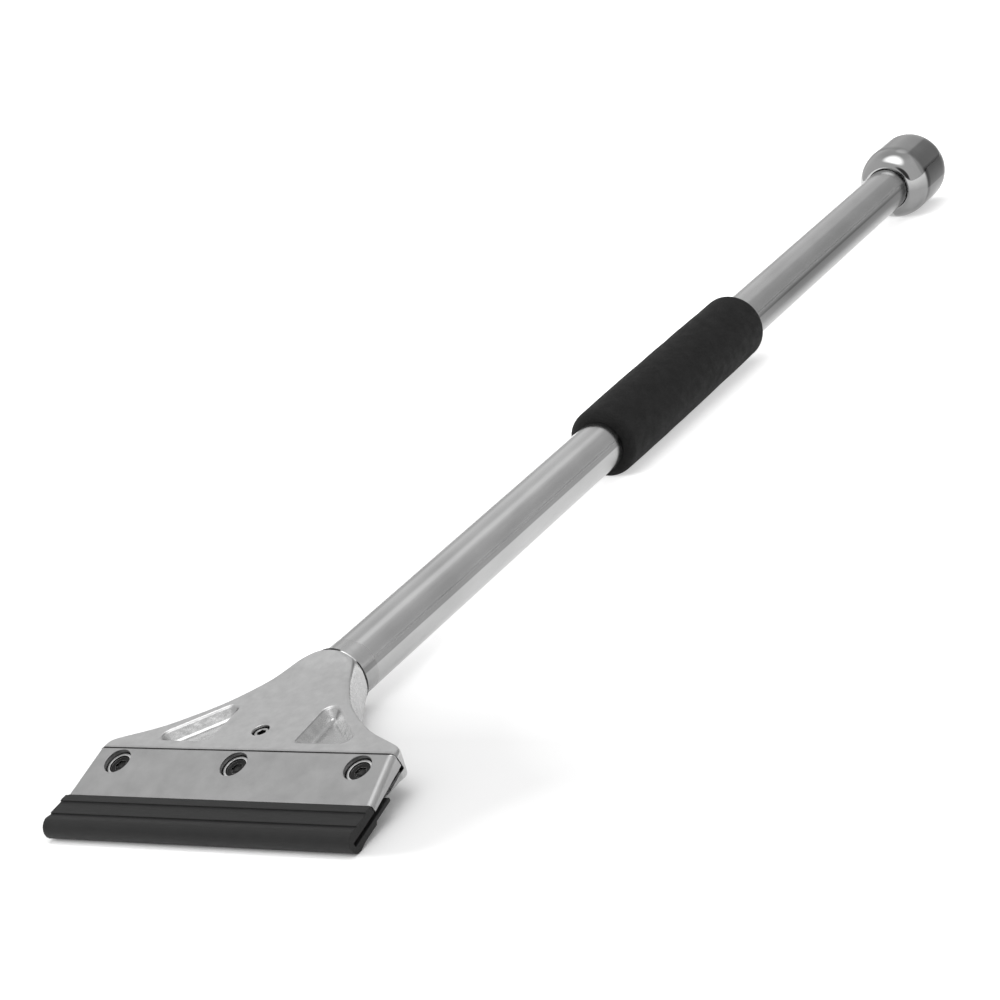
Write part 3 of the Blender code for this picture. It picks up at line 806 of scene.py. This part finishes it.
# %% Rings of the head
neck_radius = 12.3 * MM
jaw_half_width = 63.5 * MM
jaw_flare_share = 0.09
jaw_overhang = 10.3 * MM
jaw_depth = 5.8 * MM
top_slope = math.radians(4.4)
top_edge_rounding = 2.4 * MM
under_edge_rounding = 2.2 * MM
neck_blend_start = 35 * MM
head_front_rounding = 0.8 * MM
neck_end_rounding = 0.7 * MM
flank_shares = (
    (0, 1), (0.05, 0.998), (0.085, 0.978), (0.115, 0.915), (0.155, 0.82), (0.2, 0.72),
    (0.26, 0.612), (0.34, 0.498), (0.42, 0.393), (0.51, 0.294), (0.62, 0.2), (0.74, 0.114),
    (0.87, 0.046), (0.95, 0.012), (1, 0),
)


def smooth_share(table, at):
    """Read a table of shares along a smooth curve through its rows."""
    at = min(max(at, table[0][0]), table[-1][0])
    i = max(k for k in range(len(table) - 1) if table[k][0] <= at)

    def steepness(k):
        low, high = table[max(k - 1, 0)], table[min(k + 1, len(table) - 1)]
        return (high[1] - low[1]) / (high[0] - low[0])

    (x0, y0), (x1, y1) = table[i], table[i + 1]
    t = (at - x0) / (x1 - x0)
    entry = steepness(i) * (x1 - x0)
    leave = steepness(i + 1) * (x1 - x0)
    return y0 + t * (entry + t * (3 * (y1 - y0) - 2 * entry - leave + t * (entry + leave - 2 * (y1 - y0))))


def head_ring(y, inset=0):
    """Ring across the handle axis, drawn in on all sides by the inset."""
    share = max(y, 0) / neck_length
    blend = max((y - neck_blend_start) / (neck_length - neck_blend_start), 0)
    half = neck_radius + (jaw_half_width - neck_radius) * smooth_share(flank_shares, share)
    half += jaw_flare_share * max(-y, 0)
    rise = math.tan(top_slope)
    ceiling = seam_height + y * rise + (neck_radius - seam_height - neck_length * rise) * blend ** 4
    floor = -jaw_depth - (neck_radius - jaw_depth) * share
    upper = top_edge_rounding + (neck_radius - top_edge_rounding) * blend ** 9
    lower = under_edge_rounding + (neck_radius - under_edge_rounding) * blend ** 2
    ring = []
    for k, (side, level, radius) in enumerate(((half, ceiling, upper), (-half, ceiling, upper),
                                               (-half, floor, lower), (half, floor, lower))):
        centre = (side - math.copysign(radius, side), level - math.copysign(radius, level))
        ring += arc(centre, radius - inset, k * math.pi / 2, math.pi / 2, 10)
    return [(x, y, z) for x, z in ring]


half_way = max(point[0] for point in head_ring(neck_length / 2))
print("half width of the head at its middle:", round(half_way / MM, 1), "mm")

# %% [markdown]
# The rings become a closed skin. At the front and at the neck's end a few extra rings draw in along a
# quarter circle, which rounds those two edges.

# %% The skin of the head
def loft(rings):
    bm = bmesh.new()
    loops = [[bm.verts.new(point) for point in ring] for ring in rings]
    for ring, following in zip(loops, loops[1:]):
        for i in range(len(ring)):
            bm.faces.new((ring[i - 1], ring[i], following[i], following[i - 1]))
    bm.faces.new(loops[0])
    bm.faces.new(loops[-1])
    return bm


def edge_rings(y, outward, rounding, steps=4):
    """Rings that round the edge of an end face at y; outward is -1 at the front and 1 at the neck."""
    rings = []
    for i in range(steps + 1):
        angle = math.pi / 2 * i / steps
        place = y - outward * rounding * (1 - math.sin(angle))
        rings.append(head_ring(place, rounding * (1 - math.cos(angle))))
    return rings if outward > 0 else rings[::-1]


stations = 84
spacing = (neck_length + head_front_rounding) / stations
rings = edge_rings(-jaw_overhang, -1, head_front_rounding)
rings += [head_ring(-head_front_rounding + spacing * i) for i in range(stations)]
rings += edge_rings(neck_length, 1, neck_end_rounding)
head = mesh_object("cast_head", loft(rings), tool)
print("head skin:", len(head.data.polygons), "faces before it is cut")

# %% [markdown]
# The head is then cut. The pockets are triangles with drafted walls. Their rims and their floors are
# rounded, so the cutter is a loft too: its outline is drawn in step by step along the rim's round, the
# straight wall and the floor's round.

# %% Pockets in the head's top
pocket_inner_x = 18.2 * MM
pocket_front_y = 5 * MM
pocket_leg = 28.3 * MM
pocket_depth = 4.2 * MM
pocket_draft = math.radians(38)
pocket_rim_rounding = 0.7 * MM
pocket_floor_rounding = 2.2 * MM
pocket_corner_roundings = (2 * MM, 3.8 * MM, 3.8 * MM)
rim_start = math.radians(82)
least_corner = 1.1 * MM
above_the_rim = ((-0.6 * MM, 1 * MM), (-0.3 * MM, 0.02 * MM))


def pocket_outline(side, inset, z, steps=10):
    corners = [(pocket_inner_x, pocket_front_y), (pocket_inner_x + pocket_leg, pocket_front_y),
               (pocket_inner_x, pocket_front_y + pocket_leg)]
    ring = []
    for corner, sweep, rounding, start in zip(
            corners, (math.pi / 2, 3 * math.pi / 4, 3 * math.pi / 4), pocket_corner_roundings,
            (math.pi, -math.pi / 2, math.pi / 4)):
        radius = max(rounding - inset, least_corner)
        reach = (radius + inset) / math.cos(sweep / 2)
        middle = start + sweep / 2
        centre = (corner[0] - reach * math.cos(middle), corner[1] - reach * math.sin(middle))
        ring += [(side * x, y, z) for x, y in arc(centre, radius, start, sweep, steps)]
    return ring


def pocket_path():
    """Inset and depth of the wall from the rim down to the floor."""
    wall_x, wall_z = math.cos(pocket_draft), math.sin(pocket_draft)
    rim_x = -pocket_rim_rounding * (1 - wall_z) / wall_x
    path = [(rim_x + out, up) for out, up in above_the_rim]
    rim = (rim_x, -pocket_rim_rounding)
    path += arc(rim, pocket_rim_rounding, rim_start, pocket_draft - rim_start, 5)
    fillet = pocket_floor_rounding
    foot = ((fillet + wall_z * (pocket_depth - fillet)) / wall_x, fillet - pocket_depth)
    return path + arc(foot, fillet, pocket_draft + math.pi, math.pi / 2 - pocket_draft, 6)


def pocket_cutter(side):
    return mesh_object("pocket", loft([pocket_outline(side, *step) for step in pocket_path()]), top)


print("pocket wall path:", [(round(a / MM, 2), round(b / MM, 2)) for a, b in pocket_path()])

# %% [markdown]
# Between the jaws the head is cut away for the clamp plate and the blade. The cutter is a prism across
# the tool. Its upper corner follows a small round, which leaves the long edge behind the plate softened.

# %% The mouth between the jaws
wedge_angle = math.radians(7.63)
plate_tilt = math.radians(19.47)
plate_length = 21.7 * MM
blade_thickness = 1 * MM
seam_rounding = 0.12 * MM
overrun = 5 * MM
clear_of_top = 0.004 * MM
seat_drop = (blade_thickness + 2 * fit_gap) / math.cos(wedge_angle)


def prism(outline, half_width):
    return loft([[(x, y, z) for y, z in outline] for x in (-half_width, half_width)])


def mouth_outline():
    top_fall = math.tan(plate_tilt - top_slope)
    front = -plate_length

    def seat(y):
        return -plate_rear_thickness - seat_drop - y * math.tan(wedge_angle)

    lip = (fit_gap + overrun, -(fit_gap + overrun) * top_fall + clear_of_top)
    rounding = rounded([(lip[0], lip[1], 0), (fit_gap, -fit_gap * top_fall, seam_rounding),
                        (fit_gap, seat(fit_gap), 0)], steps=8)
    outline = [(lip[0], overrun)] + rounding
    return outline + [(front, seat(front)), (front, overrun)]


mouth_cutter = mesh_object("mouth", prism(mouth_outline(), 2 * jaw_half_width), jaw)
print("mouth outline:", len(mouth_outline()), "points")

# %% [markdown]
# Screw holes have a counterbore with a small chamfer at its mouth. One cutter serves the plate and the
# head below it, and each piece gets its own copy. Under the head each screw has a round boss. The lock
# screw gets a plain hole, and the neck a bore for the stud.

# %% Screw holes, bosses and the bore of the neck
screw_places = [-screw_spacing, 0, screw_spacing]
screw_head_radius = 4.9 * MM
screw_head_height = 1.6 * MM
screw_recess = 1.8 * MM
screw_radius = 3 * MM
screw_length = 8 * MM
hole_chamfer = 0.15 * MM
hole_floor_chamfer = 0.2 * MM
boss_radius = 6.5 * MM
boss_reach = 12 * MM
boss_rounding = 0.6 * MM
lock_setback = 12.3 * MM
lock_radius = 3 * MM
lock_length = 4 * MM
lock_recess = 0.9 * MM
neck_stud_reach = 20 * MM
pilot_radius = 4.3 * MM
pilot_length = 32 * MM


def in_jaw(x):
    return jaw @ Matrix.Translation((x, -screw_setback, 0))


def hole_mouth(radius):
    """Profile of a chamfered mouth, from above the surface down into the hole."""
    return [(0, overrun), (radius + hole_chamfer + overrun, overrun), (radius + hole_chamfer, 0),
            (radius, -hole_chamfer)]


def counterbore(x):
    wide = screw_head_radius + fit_gap
    narrow = screw_radius + fit_gap
    floor = -screw_recess - screw_head_height - fit_gap
    profile = hole_mouth(wide)
    profile += [(wide, floor + hole_floor_chamfer), (wide - hole_floor_chamfer, floor), (narrow, floor),
                (narrow, -boss_reach - overrun), (0, -boss_reach - overrun)]
    return mesh_object("counterbore", turned(profile, 96), in_jaw(x))


def boss(x):
    profile = rounded([(0, -plate_rear_thickness, 0), (boss_radius, -plate_rear_thickness, 0),
                       (boss_radius, -boss_reach, boss_rounding), (0, -boss_reach, 0)])
    return mesh_object("boss", turned(profile, 96), in_jaw(x))


def lock_hole():
    wide = lock_radius + fit_gap
    floor = -lock_recess - lock_length - fit_gap
    profile = hole_mouth(wide) + [(wide, floor), (0, floor)]
    return mesh_object("lock_hole", turned(profile, 96), top @ Matrix.Translation((0, lock_setback, 0)))


def neck_bore():
    stud_start = neck_length - neck_stud_reach - fit_gap
    profile = [(0, neck_length + overrun), (stud_hole_radius, neck_length + overrun),
               (stud_hole_radius, stud_start), (pilot_radius, stud_start),
               (pilot_radius, stud_start - pilot_length), (0, stud_start - pilot_length)]
    return mesh_object("neck_bore", turned(profile, 64), on_axis(0))


carve(head, [boss(x) for x in screw_places], "UNION")
carve(head, [mouth_cutter] + [counterbore(x) for x in screw_places])
carve(head, [pocket_cutter(-1), pocket_cutter(1), neck_bore(), lock_hole()])
finish_piece(head, "head_body", "head", cast_steel)

# %% [markdown]
# The clamp plate is the upper jaw: a block that gets thinner towards the front and flares a little. Its
# two upper side edges carry a large round, its upper rear edge a smaller one and its other edges a fine
# one, so the Bevel modifier reads a weight from each edge.

# %% The clamp plate
plate_side_rounding = 2.9 * MM
plate_edge_share = 0.11
plate_rear_share = 0.29

bm = bmesh.new()
bmesh.ops.create_cube(bm, size=1)
for vert in bm.verts:
    length = plate_length if vert.co.y < 0 else 0
    half = jaw_half_width + jaw_flare_share * length
    thickness = plate_rear_thickness - length * math.tan(wedge_angle)
    vert.co = (math.copysign(half, vert.co.x), -length, 0 if vert.co.z > 0 else -thickness)
weight = bm.edges.layers.float.new("bevel_weight_edge")
for edge in bm.edges:
    first, second = edge.verts
    along_side = abs(first.co.y - second.co.y) > fit_gap
    upper = first.co.z == second.co.z == 0
    rear = first.co.y == second.co.y == 0
    edge[weight] = plate_rear_share if rear and upper else plate_edge_share
    if along_side and upper:
        edge[weight] = 1
plate = mesh_object("ground_plate", bm, jaw)
round_edges(plate, "WEIGHT", plate_side_rounding, 8)
carve(plate, [counterbore(x) for x in screw_places])
finish_piece(plate, "clamp_plate", "clamp_plate", ground_steel)

# %% [markdown]
# The screws are turned, then a six-sided socket with a small chamfer is cut into each head. The heads are
# dished inside a raised rim, which is where their black wears off. The lock screw in the middle of the
# head is the same but has no head of its own.

# %% The screws
fine_round = 0.1 * MM
screw_dish = 0.7 * MM
dish_setback = 1.15 * MM
rim_setback = 0.95 * MM
rim_chamfer = 0.15 * MM
rim_fall = 0.2 * MM
tip_chamfer = 0.6 * MM
lock_chamfer = 0.5 * MM
clamp_key = (4 * MM, 1.4 * MM)
lock_key = (3 * MM, 1.5 * MM)
socket_flare = 0.2 * MM
drill_point = 0.5 * MM


def hex_socket(width, depth, matrix):
    """Hexagonal cutter with a conical mouth and a drilled point."""
    corner = width / 2 / math.cos(math.pi / 6)
    mouth = corner + socket_flare
    rings = []
    for radius, z in ((mouth + overrun, overrun), (mouth, 0), (corner, -socket_flare), (corner, -depth),
                      (socket_flare, -depth - drill_point)):
        rings.append([(x, y, z) for x, y in arc((0, 0), radius, 0, math.tau, 6)[:-1]])
    return mesh_object("socket", loft(rings), matrix)


def screw(name, node, corners, key, matrix):
    """Turned screw with its socket; it rides on the body that has its node's name."""
    piece = mesh_object(name, turned(rounded(corners, steps=3), 96), matrix)
    carve(piece, [hex_socket(*key, matrix)])
    finish_piece(piece, node, node, black_steel)


rim, tip = screw_head_radius, -screw_head_height - screw_length
clamp_corners = [
    (0, -screw_dish, 0), (rim - dish_setback, -screw_dish, fine_round),
    (rim - rim_setback, 0, 0.8 * fine_round), (rim - rim_chamfer, 0, fine_round),
    (rim, -rim_fall, fine_round), (rim, -screw_head_height, fine_round),
    (screw_radius, -screw_head_height, 2 * fine_round), (screw_radius, tip + tip_chamfer, fine_round),
    (screw_radius - tip_chamfer, tip, fine_round), (0, tip, 0),
]
for side, x in zip(("left", "middle", "right"), screw_places):
    place = in_jaw(x) @ Matrix.Translation((0, 0, -screw_recess))
    screw(f"jaw_screw_{side}", f"clamp_screw_{side}", clamp_corners, clamp_key, place)
inner = lock_radius - lock_chamfer
lock_corners = [
    (0, 0, 0), (inner, 0, fine_round), (lock_radius, -lock_chamfer, fine_round),
    (lock_radius, lock_chamfer - lock_length, fine_round), (inner, -lock_length, fine_round),
    (0, -lock_length, 0),
]
place = top @ Matrix.Translation((0, lock_setback, -lock_recess))
screw("set_screw", "stud_lock_screw", lock_corners, lock_key, place)

# %% [markdown]
# The guard is one rubber moulding, the same all along the blade: a thick lip in front with two stepped
# bands, a round nose below, and a thin leg that lies behind the blade. Its outline is drawn in the
# blade's frame. Rubber has soft corners, so each one is rounded, and the two cut ends are drawn in along
# a small quarter circle.

# %% The rubber guard
guard_half_length = 65.2 * MM
lip_thickness = 3 * MM
band_rise = 0.45 * MM
first_band = 3.4 * MM
second_band = 6.25 * MM
groove_step = 0.6 * MM
nose_radius = 4.1 * MM
nose_setback = 1.3 * MM
nose_rise = 0.36 * MM
back_thickness = 1.4 * MM
root_thickness = 2.3 * MM
root_start = 23 * MM
root_fade = 0.9 * MM
heel_reach = 3.5 * MM
rubber_corner = 0.4 * MM
rubber_fold = 0.12 * MM
rubber_end_rounding = 0.3 * MM
blade_edge = 36.3 * MM


def guard_corners():
    seat = -2 * fit_gap - blade_thickness
    rise = math.tan(wedge_angle)
    lip_foot = plate_length / math.cos(wedge_angle) + fit_gap
    lip_top = lip_foot + lip_thickness * rise
    band_top = lip_thickness + band_rise
    first_groove = lip_top + first_band
    second_groove = first_groove + second_band
    nose_y = nose_setback - blade_edge
    nose_z = nose_rise - fit_gap - blade_thickness / 2
    blade_tilt = plate_tilt - wedge_angle
    back = seat - back_thickness
    seam_foot = plate_rear_thickness * math.sin(plate_tilt)
    back_start = (jaw_overhang + seam_foot - back * math.sin(blade_tilt)) / math.cos(blade_tilt) + fit_gap
    root = seat - root_thickness
    corners = [(-lip_foot, 0, rubber_corner), (-lip_top, lip_thickness, rubber_corner),
               (-first_groove, band_top, rubber_corner),
               (-first_groove, band_top - groove_step, rubber_fold),
               (-second_groove, band_top, rubber_corner),
               (-second_groove, band_top - groove_step, rubber_fold)]
    nose = arc((nose_y, nose_z), nose_radius, math.pi / 2, math.pi, 24)
    corners += [(y, z, 0) for y, z in nose]
    corners += [(nose_y + heel_reach, root, rubber_corner), (-root_start - root_fade, root, rubber_corner),
                (-root_start, back, rubber_corner), (-back_start, back, rubber_corner),
                (-back_start, seat, rubber_corner),
                (-blade_edge - fit_gap, seat, 0), (-blade_edge - fit_gap, 0, 0)]
    return corners


guard_outline = rounded(guard_corners(), closed=True, steps=4)
guard = mesh_object("rubber_guard", prism(guard_outline, guard_half_length), blade)
round_edges(guard, "ANGLE", rubber_end_rounding, 4)
finish_piece(guard, "blade_guard", "blade_guard", rubber)

# %% [markdown]
# Five nodes of the model are already right: the blade, which the guard hides, and the studs and inserts
# inside the handle. They stay, and only change their finish.

# %% Finishes for the nodes that stay
for node, material in (("blade", blade_steel), ("neck_stud", plain_steel), ("neck_insert", plain_steel),
                       ("cap_insert", plain_steel), ("cap_stud", plain_steel)):
    for slot in frame["nodes"][node].material_slots:
        slot.material = material
    print(node, "is now", material.name)

# %% [markdown]
# The tool lies on white paper in a soft studio. The paper is a large sheet of a very light grey. To the
# camera it also glows, so that it reaches pure white where nothing shades it: a little at the head, where
# the soft shadow stays, and more along the handle. Metal mirrors the same glow. The sheet has a fold just
# in front of the guard and falls away from there, because the blade slides forward and down and would
# otherwise sink into it.

# %% The floor
paper_half_width = 12
paper_level = 0.8
paper_fall = math.radians(14)
glow_at_head = 0.08
glow_at_handle = 0.5
glow_start = handle_y(40 * MM)
glow_end = handle_y(130 * MM)

paper, tree, shader = new_finish("white_paper")
shader.inputs["Base Color"].default_value = (paper_level, paper_level, paper_level, 1)
shader.inputs["Roughness"].default_value = 0.9
shader.inputs["Specular IOR Level"].default_value = 0.1
shader.inputs["Emission Color"].default_value = (1, 1, 1, 1)
rays = tree.nodes.new("ShaderNodeLightPath").outputs
seen = work("MAXIMUM", rays["Is Camera Ray"], rays["Is Glossy Ray"])
seen = work("MAXIMUM", seen, rays["Is Transmission Ray"])
glow = spread(along_y(tree), glow_at_head, glow_at_handle, glow_start, glow_end)
connect(times(seen, glow), shader.inputs["Emission Strength"])

bm = bmesh.new()
bmesh.ops.create_grid(bm, x_segments=2, y_segments=2, size=paper_half_width)
fold = cad_box[0].y
# The front row of the grid's points sinks, and its middle row moves to the fold.
for vert in bm.verts:
    if vert.co.y < -paper_half_width / 2:
        vert.co.z = (vert.co.y - fold) * math.tan(paper_fall)
    elif vert.co.y < paper_half_width / 2:
        vert.co.y = fold
sheet = mesh_object("paper_floor", bm, Matrix.Identity(4))
sheet.data.materials.append(paper)
print("floor is", round(sheet.dimensions.x), "m wide")

# %% [markdown]
# Polished metal is only as good as what it mirrors. The room is a soft world of one level with a few round
# patches in its sky. It is darker low in front of the blade, low at the rear on both sides and high at the
# rear, where one small spot stays bright; these draw the long bands along the tube and the dark patch on
# the cap. It is brightest nearly straight above, which gives the cap its highlight. The camera itself sees
# plain white. One broad lamp low on the left casts the shadow on the right; it is kept out of reflections,
# where it would show as a disc.

# %% The world and the lamp
sky_level = 0.75
# Each row: azimuth, elevation, angle where it starts to fade, angle where it ends, and light added.
sky_patches = (
    (135, 5, 8, 40, 0.05), (132, 2, 5, 22, -0.2), (60, 8, 27, 33, -0.2), (60, 8, 4, 28, -0.1),
    (95, 60, 5, 40, -0.15), (86, 46, 3, 12, 0.35), (292, 14, 15, 26, -0.68), (300, 80, 8, 34, 2.2),
)
key_azimuth = 203
key_elevation = 12
key_distance = 1.9
key_size = 0.7
key_power = 44


def direction(azimuth, elevation):
    """Unit vector; azimuth is counted from +X towards +Y, both in degrees."""
    azimuth, elevation = math.radians(azimuth), math.radians(elevation)
    flat = math.cos(elevation)
    return Vector((flat * math.cos(azimuth), flat * math.sin(azimuth), math.sin(elevation)))


world = bpy.data.worlds.new("studio")
bpy.context.scene.world = world
world.use_nodes = True
tree = world.node_tree
background = tree.nodes["Background"]
outward = tree.nodes.new("ShaderNodeTexCoord").outputs["Generated"]
level = sky_level
for azimuth, elevation, near, far, light in sky_patches:
    patch = facing(outward, direction(azimuth, elevation), near, far)
    level = plus(times(patch, light), level)
seen = tree.nodes.new("ShaderNodeLightPath").outputs["Is Camera Ray"]
connect(work("MAXIMUM", level, seen), background.inputs["Strength"])
background.inputs["Color"].default_value = (1, 1, 1, 1)

lamp = bpy.data.lights.new("key_softbox", "AREA")
lamp.shape = "DISK"
lamp.size = key_size
lamp.energy = key_power
away = direction(key_azimuth, key_elevation) * key_distance
turn = away.to_track_quat("Z", "Y").to_matrix().to_4x4()
key = place_object("key_softbox", lamp, Matrix.Translation(away) @ turn)
key.visible_glossy = False
print("key lamp stands at", [round(v, 2) for v in away])
